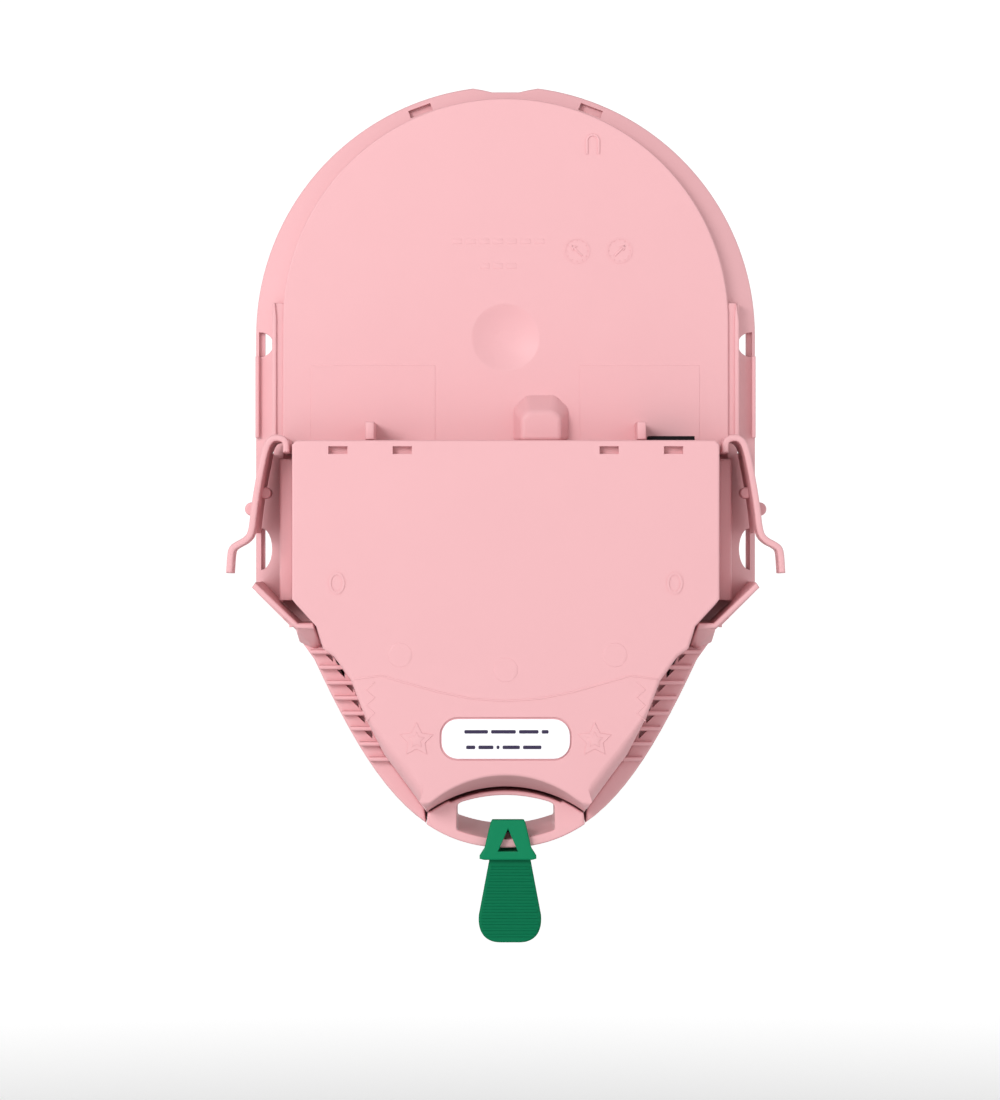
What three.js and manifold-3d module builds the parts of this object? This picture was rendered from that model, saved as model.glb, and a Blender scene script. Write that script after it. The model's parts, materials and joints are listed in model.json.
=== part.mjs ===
// Battery and electrode pad cartridge for an automated external defibrillator.
//
// Frame, in millimetres: the front plate lies on y = 0 and the cartridge runs back to y = -DEPTH.
// +Z points from the pull tab to the arched top, +X to the right when looking at the back.
// The origin is on the front face, at the centre of the arch.
import * as THREE from 'three';
import { mergeVertices } from 'three/addons/utils/BufferGeometryUtils.js';
import Module from 'manifold-3d';

const wasm = await Module();
wasm.setup();

// ---------------------------------------------------------------- driving dimensions
const DEPTH = 24;                 // front face to the back of the battery cover
const GAP = 0.3;                  // clearance between neighbouring pieces
const HALF_WIDTH = 45;            // half width of the body, and the radius of its arch
const SIDE_END = -46.2;           // where the straight sides end
const CORNER = [36.3, -54.5];     // end of the diagonal under the latch channel
const NOSE = [[33.8, -58.0], [23.9, -79.3], [15.6, -91.1], [0, -91.1]];   // curve down to the lip
const NOSE_SPLIT = 0.65;          // the part of that curve that belongs to the shells

const PLATE = 1.2;                // front plate thickness
const TRAY_FRONT = -1.5;          // front of the drawer and of the chassis
const TRAY_BACK = -5.4;           // back of the drawer
const DECK_FRONT = -5.7;          // chassis deck, in front of the battery bay
const DECK_BACK = -6.8;
const FLANGE_BACK = -2.0;         // back of the flange at its rim
const FLANGE_SLOPE = 0.5;         // how much it rises from there towards the deck
const PANEL_RADIUS = 39.9;        // arch of the raised deck
const PANEL_CENTRE = 2.3;
const BAY_HALF = 38.4;            // half width of the drawer bay
const TRAY_HALF = 38.0;
const TRAY_WALL = 1.0;

const COVER_WALL = 1.2;
const COVER_TOP = -19.5;          // upper end of the battery cover
const COVER_HALF = 37.2;
const COVER_SKIRT = -7.1;         // front edge of the cover's side walls
const COVER_SIDE = [[COVER_HALF, -47.2], [36.4, -48.2], [33.0, -51.9], [31.8, -55.8], [29.9, -57.2],
  [26.9, -61.4], [24.4, -68.0], [21.3, -74.5], [14.3, -84.0]];
const COVER_ARC = { radius: 19.9, top: -77.8 };    // concave lower end, at the back face
const SKIRT_ARC = { radius: 23.8, top: -80.25 };   // the same end, at the lip's level

const LIP_BACK = -16.5;           // back of the drawer's finger lip and of the grips
const GRIP_FLOOR = -14.6;
const GUARD_BACK = -21.0;         // back of the walls round the latch channels
const CHANNEL = { inner: 37.6, outer: 40.1, top: -22.4, bottom: -47.6, back: -12.5 };   // its inner wall

const CELL_RADIUS = 7.7;
const CELL_LENGTH = 26.8;
const CELL_Y = -14.8;
const CELL_TOP = -21.8;
const CELL_PITCH = 15.75;
const ROW_GAP = 0.4;
const ARC_STEPS = 48;

// ---------------------------------------------------------------- colours and materials
const PINK = 0xf8bcc2;
const plastic = (color) => new THREE.MeshStandardMaterial({ color, roughness: 0.48, metalness: 0 });
const metal = (color) => new THREE.MeshStandardMaterial({ color, roughness: 0.35, metalness: 1 });
const matte = (color) => new THREE.MeshStandardMaterial({ color, roughness: 0.85, metalness: 0 });

// ---------------------------------------------------------------- outlines, as points in X and Z
const point = (x, z) => new THREE.Vector2(x, z);
const radians = (degrees) => degrees * Math.PI / 180;

function arcPoints(cx, cz, radius, from, to, steps) {
  const points = [];
  for (let i = 0; i <= steps; i++) {
    const angle = radians(from + (to - from) * i / steps);
    points.push(point(cx + radius * Math.cos(angle), cz + radius * Math.sin(angle)));
  }
  return points;
}

function nosePoints(from, to, steps) {
  const curve = new THREE.CubicBezierCurve(...NOSE.map(([x, z]) => point(x, z)));
  const points = [];
  for (let i = 0; i <= steps; i++) points.push(curve.getPoint(from + (to - from) * i / steps));
  return points;
}

// An arc that crosses x = 0 at height top, centred below it, from x = half back to x = 0.
function lowerArc({ radius, top }, half, steps = 14) {
  const edge = 90 - Math.asin(half / radius) * 180 / Math.PI;
  return arcPoints(0, top - radius, radius, edge, 90, steps);
}

// Closes a right half, given from the top centre to the bottom centre, with its mirror image.
function mirrorHalf(half) {
  const left = half.filter((p) => p.x > 1e-6).reverse().map((p) => point(-p.x, p.y));
  return [...half, ...left];
}

// Moves a clockwise outline inward by a distance, or outward when it is negative.
// An open line keeps its two ends.
function inset(points, distance, open = false) {
  const last = points.length - 1;
  return points.map((p, i) => {
    const before = points[i > 0 ? i - 1 : open ? 0 : last];
    const after = points[i < last ? i + 1 : open ? last : 0];
    const a = p.clone().sub(before).normalize();
    const b = after.clone().sub(p).normalize();
    const normal = point(a.y + b.y, -a.x - b.x).normalize();
    const stretch = Math.min(1 / Math.max(Math.sqrt((1 + a.dot(b)) / 2), 0.35), 2);
    return p.clone().add(normal.multiplyScalar(distance * stretch));
  });
}

const NOTCH = [[0, 43.85], [2.4, 43.85], [4.2, 44.3]];   // shallow dip at the top of the arch
const NOTCH_END = 82.5;           // angle where the dip meets the arch

// The outline of both flanges. The front one reaches past the other's end by a lap, behind the finger lip.
function flangeOutline(lap = 0) {
  const end = nosePoints(0, NOSE_SPLIT + lap * 0.04, 12);
  return mirrorHalf([
    ...NOTCH.map(([x, z]) => point(x, z)),
    ...arcPoints(0, 0, HALF_WIDTH, NOTCH_END, 0, ARC_STEPS / 2),
    point(HALF_WIDTH, SIDE_END), point(...CORNER), ...end,
    ...lowerArc({ radius: SKIRT_ARC.radius, top: SKIRT_ARC.top - lap }, end[end.length - 1].x - 0.2),
  ]);
}

function panelOutline() {
  return mirrorHalf([
    ...arcPoints(0, PANEL_CENTRE, PANEL_RADIUS, 90, 0, ARC_STEPS / 2),
    point(PANEL_RADIUS, -50), point(CORNER[0], -54),
    ...nosePoints(0, NOSE_SPLIT, 12),
    ...lowerArc(SKIRT_ARC, 13.9),
  ]);
}

// The drawer's own outline: arch, sides and the part of the nose above the lip.
function trayOutline() {
  return mirrorHalf([
    ...arcPoints(0, 2, TRAY_HALF, 90, 0, ARC_STEPS / 2),
    point(TRAY_HALF, -52.2), point(35.9, -54.6),
    ...inset(nosePoints(0, NOSE_SPLIT, 12), 0.25, true),
    ...lowerArc({ radius: SKIRT_ARC.radius, top: SKIRT_ARC.top + 0.25 }, 13.4),
  ]);
}

function bayOutline() {
  return mirrorHalf([
    ...arcPoints(0, PANEL_CENTRE, BAY_HALF, 90, 0, ARC_STEPS / 2), point(BAY_HALF, -100), point(0, -100),
  ]);
}

function coverOutline(end) {
  const half = COVER_SIDE[COVER_SIDE.length - 1][0];
  return mirrorHalf([
    point(0, COVER_TOP), point(COVER_HALF - 0.8, COVER_TOP), point(COVER_HALF, COVER_TOP - 0.8),
    ...COVER_SIDE.map(([x, z]) => point(x, z)),
    ...lowerArc(end, half - 0.2),
  ]);
}

function lipOutline() {
  return mirrorHalf([
    ...lowerArc({ radius: SKIRT_ARC.radius, top: SKIRT_ARC.top - 0.4 }, 13.3).reverse(),
    point(13.6, -86.6),
    ...nosePoints(NOSE_SPLIT + 0.01, 1, 14),
  ]);
}

function roundedBox(cx, cz, width, height, corner) {
  const [w, h] = [width / 2 - corner, height / 2 - corner];
  return [
    ...arcPoints(cx + w, cz + h, corner, 90, 0, 6), ...arcPoints(cx + w, cz - h, corner, 0, -90, 6),
    ...arcPoints(cx - w, cz - h, corner, -90, -180, 6), ...arcPoints(cx - w, cz + h, corner, 180, 90, 6),
  ];
}

// Gives a line of points a thickness, as a closed outline.
function thicken(line, thickness) {
  const side = (sign) => line.map((p, i) => {
    const a = line[Math.max(i - 1, 0)];
    const b = line[Math.min(i + 1, line.length - 1)];
    const along = b.clone().sub(a).normalize();
    return p.clone().add(point(along.y, -along.x).multiplyScalar(sign * thickness / 2));
  });
  return [...side(1), ...side(-1).reverse()];
}

// ---------------------------------------------------------------- solids
// An outline in X and Z run in depth from yFront back to yBack.
function slab(points, yFront, yBack) {
  const geometry = new THREE.ExtrudeGeometry(new THREE.Shape(points), {
    depth: yFront - yBack, bevelEnabled: false,
  });
  return geometry.rotateX(Math.PI / 2).translate(0, yFront, 0);
}

function block(x0, x1, y0, y1, z0, z1) {
  const geometry = new THREE.BoxGeometry(Math.abs(x1 - x0), Math.abs(y1 - y0), Math.abs(z1 - z0));
  return geometry.translate((x0 + x1) / 2, (y0 + y1) / 2, (z0 + z1) / 2);
}

function solid(geometry) {
  const bare = geometry.clone();
  bare.deleteAttribute('normal');
  bare.deleteAttribute('uv');
  const merged = mergeVertices(bare, 1e-5);
  return new wasm.Manifold(new wasm.Mesh({
    numProp: 3,
    vertProperties: new Float32Array(merged.attributes.position.array),
    triVerts: new Uint32Array(merged.index.array),
  }));
}

function toGeometry(body) {
  const mesh = body.getMesh();
  const geometry = new THREE.BufferGeometry();
  geometry.setAttribute('position', new THREE.BufferAttribute(new Float32Array(mesh.vertProperties), 3));
  geometry.setIndex(new THREE.BufferAttribute(new Uint32Array(mesh.triVerts), 1));
  const flat = geometry.toNonIndexed();
  flat.computeVertexNormals();
  return flat;
}

const united = (...geometries) => geometries.map(solid).reduce((a, b) => a.add(b));
const common = (a, b) => solid(a).intersect(solid(b));

// ---------------------------------------------------------------- assembly
const cartridge = new THREE.Group();

function place(name, shape, material) {
  const mesh = new THREE.Mesh(shape.isBufferGeometry ? shape : toGeometry(shape), material);
  mesh.name = name;
  cartridge.add(mesh);
}

// ---------------------------------------------------------------- front plate and its label
const SLOTS = [
  { outer: 44.4, bulge: 2.6, top: 0.6, bottom: -3.9 },
  { outer: 44.0, bulge: 2.0, top: -34.7, bottom: -42.2 },
  { outer: 43.2, bulge: 1.5, top: -19.6, bottom: -22.5 },
];
const PLATE_SLOT_EDGE = 43.4;     // the front plate closes the outer part of each slot
const FRONT_LABEL = { z: -42, width: 52, height: 38, corner: 4 };
const LABEL_RECESS = 0.4;

function frontLabelOutline(margin) {
  const { z, width, height, corner } = FRONT_LABEL;
  return roundedBox(0, z, width + 2 * margin, height + 2 * margin, corner + margin);
}

// Half-round slot through a flange: flat on the outside, curved towards the deck.
function flangeSlot(side, { outer, bulge, top, bottom }, edge = outer) {
  const middle = (top + bottom) / 2;
  const half = (top - bottom) / 2;
  const curve = arcPoints(0, 0, 1, 90, 270, 10).map((p) => {
    const depth = bulge - Math.max(outer - edge, 0);
    return point(side * (Math.min(outer, edge) + depth * p.x), middle + half * p.y);
  });
  return slab(curve, 1, DECK_BACK);
}

function frontPlate() {
  let body = solid(slab(flangeOutline(1), 0, -PLATE));
  for (const side of [-1, 1]) {
    for (const slot of SLOTS) body = body.subtract(solid(flangeSlot(side, slot, PLATE_SLOT_EDGE)));
  }
  return body.subtract(solid(slab(frontLabelOutline(0.3), 1, -LABEL_RECESS)));
}

place('front_plate', frontPlate(), plastic(PINK));
place('front_label', slab(frontLabelOutline(0), -0.1, -LABEL_RECESS + 0.05), matte(0xf6f5f2));

// ---------------------------------------------------------------- chassis
const BOSS = {
  left: 1.2, right: 11.4, top: -10.6, foot: -19.2, height: 4.2,
  slopeX: 1.6, slopeZ: 3.4, corner: 2.4,
};
const POST_X = 23.9;
const RAIL = { inner: 41.0, outer: 41.8, top: 5.6, bottom: -18.4, step: -6.2 };
const ARCH_SLOT_ANGLE = 20.7;     // degrees from the top of the arch
const RIB_COUNT = 8;
const RIB_PITCH = 2.7;
const RIB_TOP = -56.2;
const RIB = 0.75;

// Closed hull round two outlines, given as points in X and Z, at two depths.
function hullBetween(lower, yLower, upper, yUpper) {
  const points = [...lower.map(([x, z]) => [x, yLower, z]), ...upper.map(([x, z]) => [x, yUpper, z])];
  return wasm.Manifold.hull(points);
}

// Sloping cover over the passage of the pad lead.
function leadBoss() {
  const { left, right, top, height, slopeX, slopeZ, corner, foot } = BOSS;
  const ring = (x0, x1, z1, cut) => [
    [x0, foot], [x0, z1 - cut], [x0 + cut, z1], [x1 - cut, z1], [x1, z1 - cut], [x1, foot],
  ];
  const base = ring(left, right, top, corner);
  const plateau = ring(left + slopeX, right - slopeX, top - slopeZ, corner / 2);
  const body = hullBetween(base, DECK_BACK, plateau, DECK_BACK - height);
  return body.add(solid(slab(base.map(([x, z]) => point(x, z)), DECK_BACK + 0.5, DECK_BACK)));
}

function leadPassage() {
  const back = DECK_BACK - BOSS.height + 1.1;
  return block(BOSS.left + 2.4, BOSS.right - 2.4, DECK_FRONT + 0.5, back, -14.6, -19.6);
}

function archSlot(side) {
  const radius = 43.3;
  const angle = radians(90 - side * ARCH_SLOT_ANGLE);
  const slot = block(-2.1, 2.1, 0, DECK_BACK, -0.7, 0.7);
  slot.rotateY(side * radians(ARCH_SLOT_ANGLE));
  return slot.translate(radius * Math.cos(angle), 0, radius * Math.sin(angle));
}

const COVER_MARGIN = 0.35;
const coverRoom = () => solid(slab(inset(coverOutline(SKIRT_ARC), -COVER_MARGIN), -6.9, -30));

// Diagonal wall that closes the latch channel, and the slope that leads from it down to the grips.
const GUARD = [[43.8, -44.3], [44.4, -45.2], [36.8, -52.3], [32.9, -52.5], [32.9, -51.4], [36.4, -51.4]];
const GUARD_SLOPE = {
  upper: [[36.8, -52.4], [33.2, -52.4], [32.9, -51.6]],
  lower: [[36.4, -55.0], [33.6, -56.4], [32.4, -55.6]],
};

function guardWall(side) {
  const wall = slab(GUARD.map(([x, z]) => point(side * x, z)), FLANGE_BACK + 0.2, GUARD_BACK);
  const mirror = ([x, z]) => [side * x, z];
  const { upper, lower } = GUARD_SLOPE;
  const slope = hullBetween([...upper, ...lower].map(mirror), GRIP_FLOOR, upper.map(mirror), GUARD_BACK + 0.6);
  return solid(wall).add(slope).subtract(coverRoom());
}

// Low wall between the latch channel and the battery cover.
function channelWall(side) {
  const { inner, outer, top, bottom, back } = CHANNEL;
  return block(side * inner, side * outer, FLANGE_BACK + 0.2, back, top, bottom);
}

const noseRegion = () => mirrorHalf([
  point(0, -54.6), point(CORNER[0], -54.6), ...nosePoints(0, NOSE_SPLIT, 12),
  ...lowerArc(SKIRT_ARC, 13.9)]);

// Ribbed finger grips along both sides of the nose.
function grips() {
  const outer = noseRegion();
  let body = solid(slab(outer, DECK_BACK + 0.3, GRIP_FLOOR));
  for (let i = 0; i < RIB_COUNT; i++) {
    const z = RIB_TOP - i * RIB_PITCH;
    const rib = block(-40, 40, GRIP_FLOOR + 0.2, LIP_BACK, z - RIB, z);
    body = body.add(common(rib, slab(inset(outer, 0.3), GRIP_FLOOR + 0.2, LIP_BACK)));
  }
  body = body.subtract(coverRoom());
  for (const side of [-1, 1]) {
    for (let i = 0; i < RIB_COUNT - 2; i++) {
      const z = RIB_TOP - RIB - i * RIB_PITCH;
      const x = 29.9 - i * 1.55;
      const hole = [point(side * x, z), point(side * (x - 2.2), z), point(side * (x - 1.6), z - 1.6)];
      body = body.subtract(solid(slab(hole, DECK_BACK - 2, -20)));
    }
  }
  return body;
}

const EDGE_BEAD = { inner: 44.3, height: 0.8, top: -3.8 };   // low bead along the side of the flange
const POST = { half: 0.8, top: -16.1, bottom: -19.2, back: -18 };
const DIMPLE = { radius: 22, depth: 0.83, z: -0.6 };

// Narrow strip of the chassis' back, on the right or the left side.
function strip(side, x0, x1, yBack, z0, z1) {
  return solid(block(side * x0, side * x1, FLANGE_BACK + 0.2, yBack, z0, z1));
}

// The flange's back rises inward, so it is built as the rim round the drawer bay and then tilted.
function slopedFlange() {
  const outer = [
    ...NOTCH.map(([x, z]) => point(x, z)),
    ...arcPoints(0, 0, HALF_WIDTH, NOTCH_END, 0, ARC_STEPS / 2),
    point(HALF_WIDTH, SIDE_END), point(BAY_HALF, -52.5),
  ];
  const inner = arcPoints(0, PANEL_CENTRE, BAY_HALF - 0.2, 0, 90, ARC_STEPS / 2);
  const half = [...outer, point(BAY_HALF - 0.2, -52.5), ...inner];
  const left = half.filter((p) => p.x > 1e-6).reverse().map((p) => point(-p.x, p.y));
  const tool = slab([...half, ...left], TRAY_FRONT, FLANGE_BACK);
  const position = tool.attributes.position;
  for (let i = 0; i < position.count; i++) {
    const [x, y, z] = [position.getX(i), position.getY(i), position.getZ(i)];
    const inward = Math.max(HALF_WIDTH - (z > 0 ? Math.hypot(x, z) : Math.abs(x)), 0);
    if (y < FLANGE_BACK + 0.1) position.setY(i, y - FLANGE_SLOPE * inward);
  }
  return solid(tool);
}

function chassis() {
  let body = slopedFlange();
  body = body.add(solid(slab(panelOutline(), TRAY_FRONT, DECK_BACK))).add(leadBoss()).add(grips());
  for (const side of [-1, 1]) {
    body = body.add(guardWall(side)).add(solid(channelWall(side)));
    body = body.add(strip(side, PANEL_RADIUS - 0.5, RAIL.outer, RAIL.step, RAIL.top, RAIL.bottom));
    body = body.add(strip(side, RAIL.inner, RAIL.outer, DECK_BACK, RAIL.top, RAIL.bottom));
    const beadBack = FLANGE_BACK - EDGE_BEAD.height;
    body = body.add(strip(side, EDGE_BEAD.inner, HALF_WIDTH, beadBack, EDGE_BEAD.top, RAIL.bottom));
    body = body.add(strip(side, POST_X - POST.half, POST_X + POST.half, POST.back, POST.top, POST.bottom));
    for (const slot of SLOTS) body = body.subtract(solid(flangeSlot(side, slot)));
    body = body.subtract(solid(archSlot(side)));
  }
  const dimple = new THREE.SphereGeometry(DIMPLE.radius, 96, 64);
  dimple.translate(0, DECK_BACK - DIMPLE.radius + DIMPLE.depth, DIMPLE.z);
  body = body.subtract(solid(slab(bayOutline(), 0, DECK_FRONT)));
  return body.subtract(solid(leadPassage())).subtract(solid(dimple));
}

place('chassis', chassis(), plastic(PINK));

// ---------------------------------------------------------------- battery cover and its label
const REAR_LABEL = { z: -71.5, width: 22.3, height: 6.9, corner: 2.8 };
const WINDOW_X = [18.0, 29.2];
const CONTACT = { left: 25.2, right: 33.4, top: -18.5, bottom: -21.5, front: -8.4, back: -14.4 };

// Sloping lower end: the arc sits lower towards the lip's level than at the back face.
function endTool() {
  const half = 15.5;
  const outline = [...arcPoints(0, COVER_ARC.top - COVER_ARC.radius, COVER_ARC.radius, 39, 141, 30),
    point(-half, -100), point(half, -100)];
  const tool = slab(outline, LIP_BACK, -DEPTH - 1);
  const position = tool.attributes.position;
  for (let i = 0; i < position.count; i++) {
    if (position.getY(i) > LIP_BACK - 0.01 && position.getZ(i) > -95) {
      const x = position.getX(i) / half;
      position.setZ(i, position.getZ(i) - 0.9 - 1.55 * (1 - x * x));
    }
  }
  return tool;
}

// The cover's face rolls off along its lower side edges, in three flats of width and drop.
const ROLL_LINE = [[21.3, -74.5], [14.3, -84.0]];
const ROLL = [[3.4, 1.2], [2.2, 2.4], [1.1, 4.4]];

function rollOff(body, side) {
  const [[x0, z0], [x1, z1]] = ROLL_LINE;
  const length = Math.hypot(x1 - x0, z1 - z0);
  const [nx, nz] = [(z0 - z1) / length, (x1 - x0) / length];
  let rolled = body;
  for (const [width, drop] of ROLL) {
    const size = Math.hypot(drop, width);
    const normal = [-side * nx * drop / size, width / size, -nz * drop / size];
    const through = [side * (x0 - nx * width), -DEPTH, z0 - nz * width];
    const offset = normal.reduce((sum, n, i) => sum + n * through[i], 0);
    rolled = rolled.trimByPlane(normal, offset);
  }
  return rolled;
}

function batteryCover() {
  let body = solid(slab(coverOutline(SKIRT_ARC), COVER_SKIRT, -DEPTH));
  body = body.subtract(solid(slab(inset(coverOutline(COVER_ARC), COVER_WALL), 0, -DEPTH + COVER_WALL)));
  body = body.subtract(solid(endTool()));
  const ledge = (x) => block(x - 2.1, x + 2.1, -22.1, -21.5, -20.4, -21.5);
  const window = (x) => block(x - 1.65, x + 1.65, -DEPTH - 1, -DEPTH + COVER_WALL + 0.2, -20.6, -21.9);
  for (const side of [-1, 1]) {
    for (const x of WINDOW_X) {
      body = body.subtract(solid(window(side * x))).add(solid(ledge(side * x)));
    }
  }
  const { left, right, front, back } = CONTACT;
  body = body.subtract(solid(block(left - GAP, right + GAP, front + GAP, back - GAP, -19, -22)));
  body = body.subtract(solid(block(3.0, 9.6, COVER_SKIRT + 1, -10.4, -19, -21)));
  body = rollOff(rollOff(body, 1), -1);
  const { z, width, height, corner } = REAR_LABEL;
  const recess = roundedBox(0, z, width + 0.6, height + 0.6, corner + 0.3);
  return body.subtract(solid(slab(recess, -DEPTH + LABEL_RECESS, -DEPTH - 1)));
}

place('battery_cover', batteryCover(), plastic(PINK));
place('rear_label', slab(roundedBox(0, REAR_LABEL.z, REAR_LABEL.width, REAR_LABEL.height, REAR_LABEL.corner),
  -DEPTH + LABEL_RECESS - 0.05, -DEPTH + 0.08), matte(0xfbf9fb));

// ---------------------------------------------------------------- release latches
// One springy arm on each side, drawn from its root beside the cover to the finger tab.
const ARM = [
  [38.4, -21.6], [38.4, -20.0], [38.9, -19.2], [40.3, -18.9], [41.4, -19.5], [42.15, -21.2],
  [43.2, -26.4], [43.95, -31.0], [44.45, -35.6], [45.4, -36.9], [47.2, -37.8], [47.9, -38.4],
  [48.15, -39.4], [48.35, -42.7],
];
const ARM_THICKNESS = 1.15;
const ROOT_FRONT = -7.1;          // the root lies behind the deck, the arm reaches down to the flange
const ARM_FRONT = -4.2;
const ROOT_POINT = 5;
const TAB_FRONT = -15.0;
const TAB_POINT = 8;              // where the arm narrows into the tab

function latchArm(side) {
  const line = (from, to) => ARM.slice(from, to).map(([x, z]) => point(side * x, z));
  const root = slab(thicken(line(0, ROOT_POINT + 1), ARM_THICKNESS), ROOT_FRONT, GUARD_BACK);
  const arm = slab(thicken(line(ROOT_POINT, TAB_POINT + 1), ARM_THICKNESS), ARM_FRONT, GUARD_BACK);
  const tab = slab(thicken(line(TAB_POINT - 1, ARM.length), ARM_THICKNESS), TAB_FRONT, GUARD_BACK);
  const catchNub = slab(arcPoints(side * 44.9, -31.4, 1.2, 0, 345, 23), -10, -14.5);
  const stopNub = slab(arcPoints(side * 42.6, -28.5, 1.0, 0, 345, 23), -8, -13);
  return united(root, arm, tab, catchNub, stopNub);
}

place('left_latch', latchArm(-1), plastic(PINK));
place('right_latch', latchArm(1), plastic(PINK));

// ---------------------------------------------------------------- battery cells and straps
const FIRST_CELL = -26.5;
const CELL_ROW = [0, 1, 2, 3].map((i) => FIRST_CELL + i * CELL_PITCH);
const CELL_PAIR = [-7.9, 7.9];
const PAIR_TOP = CELL_TOP - CELL_LENGTH - ROW_GAP;

function cell(x, top) {
  const bottom = top - CELL_LENGTH;
  const profile = [[0, 0], [CELL_RADIUS - 0.4, 0], [CELL_RADIUS, 0.4], [CELL_RADIUS, CELL_LENGTH - 1],
    [CELL_RADIUS - 0.5, CELL_LENGTH - 0.4], [3.2, CELL_LENGTH - 0.4], [3.0, CELL_LENGTH], [0, CELL_LENGTH]];
  const can = new THREE.LatheGeometry(profile.map(([r, h]) => point(r, h)), 28);
  return can.rotateX(Math.PI / 2).translate(x, CELL_Y, bottom);
}

CELL_ROW.forEach((x, i) => place(`cell_${i + 1}`, cell(x, CELL_TOP), metal(0x2f5f9a)));
CELL_PAIR.forEach((x, i) => place(`cell_${i + 5}`, cell(x, PAIR_TOP), metal(0x2f5f9a)));

const STRAP = 0.15;
const STRAP_HALF = 2.5;

function strap(x0, x1, z) {
  return block(x0 - 2, x1 + 2, CELL_Y - STRAP_HALF, CELL_Y + STRAP_HALF, z, z + STRAP);
}

const MIDDLE = CELL_TOP - CELL_LENGTH - 0.28;
place('cell_strap_1', strap(CELL_ROW[0], CELL_ROW[1], MIDDLE), metal(0xb9bcc0));
place('cell_strap_2', strap(CELL_ROW[1], CELL_ROW[2], CELL_TOP + 0.15), metal(0xb9bcc0));
place('cell_strap_3', strap(CELL_ROW[2] + 3, CELL_ROW[3], MIDDLE), metal(0xb9bcc0));
place('cell_strap_4', strap(CELL_PAIR[0], CELL_PAIR[1], PAIR_TOP - CELL_LENGTH - 0.3), metal(0xb9bcc0));

// ---------------------------------------------------------------- contacts, board and pad lead
const BLADES = [29.4, 30.4, 31.4, 32.4];

function contactBlock() {
  const { left, right, top, bottom, front, back } = CONTACT;
  const slot = block(left + 0.8, right - 0.6, -10.8, -12.2, top + 1, bottom - 1);
  return solid(block(left, right, front, back, bottom, top)).subtract(solid(slot));
}

place('contact_block', contactBlock(), matte(0x17151a));
BLADES.forEach((x, i) => {
  place(`contact_blade_${i + 1}`, block(x - 0.3, x + 0.3, -11.3, -11.6, -18.9, -25), metal(0xd8b45a));
});
place('circuit_board', block(29.0, 35.2, -11.9, -12.9, -22.4, -47), matte(0x1f6b3c));
place('board_chip', block(29.6, 34.2, -13.0, -14.4, -30, -36), matte(0x1b1b1d));

// Flat two-core tail from the pad socket to the board, in the slot above the cells.
const TAIL = [[6.0, -17.2], [6.0, -20.3], [6.6, -21.05], [7.4, -21.1], [24.8, -21.1]];
place('pad_tail', slab(thicken(TAIL.map(([x, z]) => point(x, z)), 0.25), -7.6, -9.8), matte(0xe9e4da));
place('pad_socket', block(4.0, 8.6, -5.9, -9.4, -14.9, -16.9), matte(0xe8e6e1));

// ---------------------------------------------------------------- drawer: tray, lid and contents
function tray() {
  const outline = trayOutline();
  return solid(slab(outline, TRAY_FRONT - 0.25, TRAY_BACK))
    .subtract(solid(slab(inset(outline, TRAY_WALL), 0, TRAY_BACK + 0.9)));
}

function padOutline(margin) {
  const [half, low, corner] = [34 - margin, -42 + margin, 8];
  return mirrorHalf([
    ...arcPoints(0, 2, half, 90, 0, 20),
    ...arcPoints(half - corner, low + corner, corner, 0, -90, 6),
    point(0, low),
  ]);
}

place('drawer_tray', tray(), plastic(PINK));
place('drawer_foil', slab(inset(trayOutline(), 0.3), TRAY_FRONT - 0.02, TRAY_FRONT - 0.2), metal(0xd9dade));
place('upper_pad_backing', slab(padOutline(0), -1.85, -2.4), matte(0xf3f1ee));
place('upper_pad_gel', slab(padOutline(5), -2.46, -2.9), matte(0xdfe9ee));
place('pad_liner', slab(padOutline(-1), -2.96, -3.14), matte(0xcfd6da));
place('lower_pad_gel', slab(padOutline(5), -3.2, -3.64), matte(0xdfe9ee));
place('lower_pad_backing', slab(padOutline(0), -3.7, -4.25), matte(0xf3f1ee));
place('folded_lead', slab(roundedBox(0, -58, 44, 15, 6.5), -2.1, -4.2), matte(0x26262a));

// ---------------------------------------------------------------- finger lip and pull tab
const HOLE = { half: 8.6, top: -81.8, bottom: -89.5, shoulder: -83.2, foot: -88.0 };
const HOLE_DRAFT = 1.5;           // how much the hole's lower wall rises towards the front

// Finger hole: a bowed top, upright ends and a bowed lower wall that slopes up towards the front.
function fingerHole() {
  const { half, top, bottom, shoulder, foot } = HOLE;
  const outline = new THREE.Path();
  outline.moveTo(-half, shoulder - 0.8);
  outline.quadraticCurveTo(-half, shoulder, -half + 1.4, shoulder + 0.35);
  outline.quadraticCurveTo(0, 2 * top - shoulder - 0.35, half - 1.4, shoulder + 0.35);
  outline.quadraticCurveTo(half, shoulder, half, shoulder - 0.8);
  outline.lineTo(half, foot + 0.4);
  outline.quadraticCurveTo(half, foot, half - 0.6, foot - 0.1);
  outline.quadraticCurveTo(0, 2 * bottom - foot, -half + 0.6, foot - 0.1);
  outline.quadraticCurveTo(-half, foot, -half, foot + 0.4);
  const tool = slab(outline.getPoints(8), 0, LIP_BACK - 1);
  const position = tool.attributes.position;
  const middle = (shoulder + foot) / 2;
  for (let i = 0; i < position.count; i++) {
    const [y, z] = [position.getY(i), position.getZ(i)];
    if (y > -0.01 && z < middle) position.setZ(i, z + HOLE_DRAFT * 1.1);
  }
  return tool;
}

const TAB_X = 0.4;
const SADDLE = -88.8;            // floor of the strap's seat across the lip's bar

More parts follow.
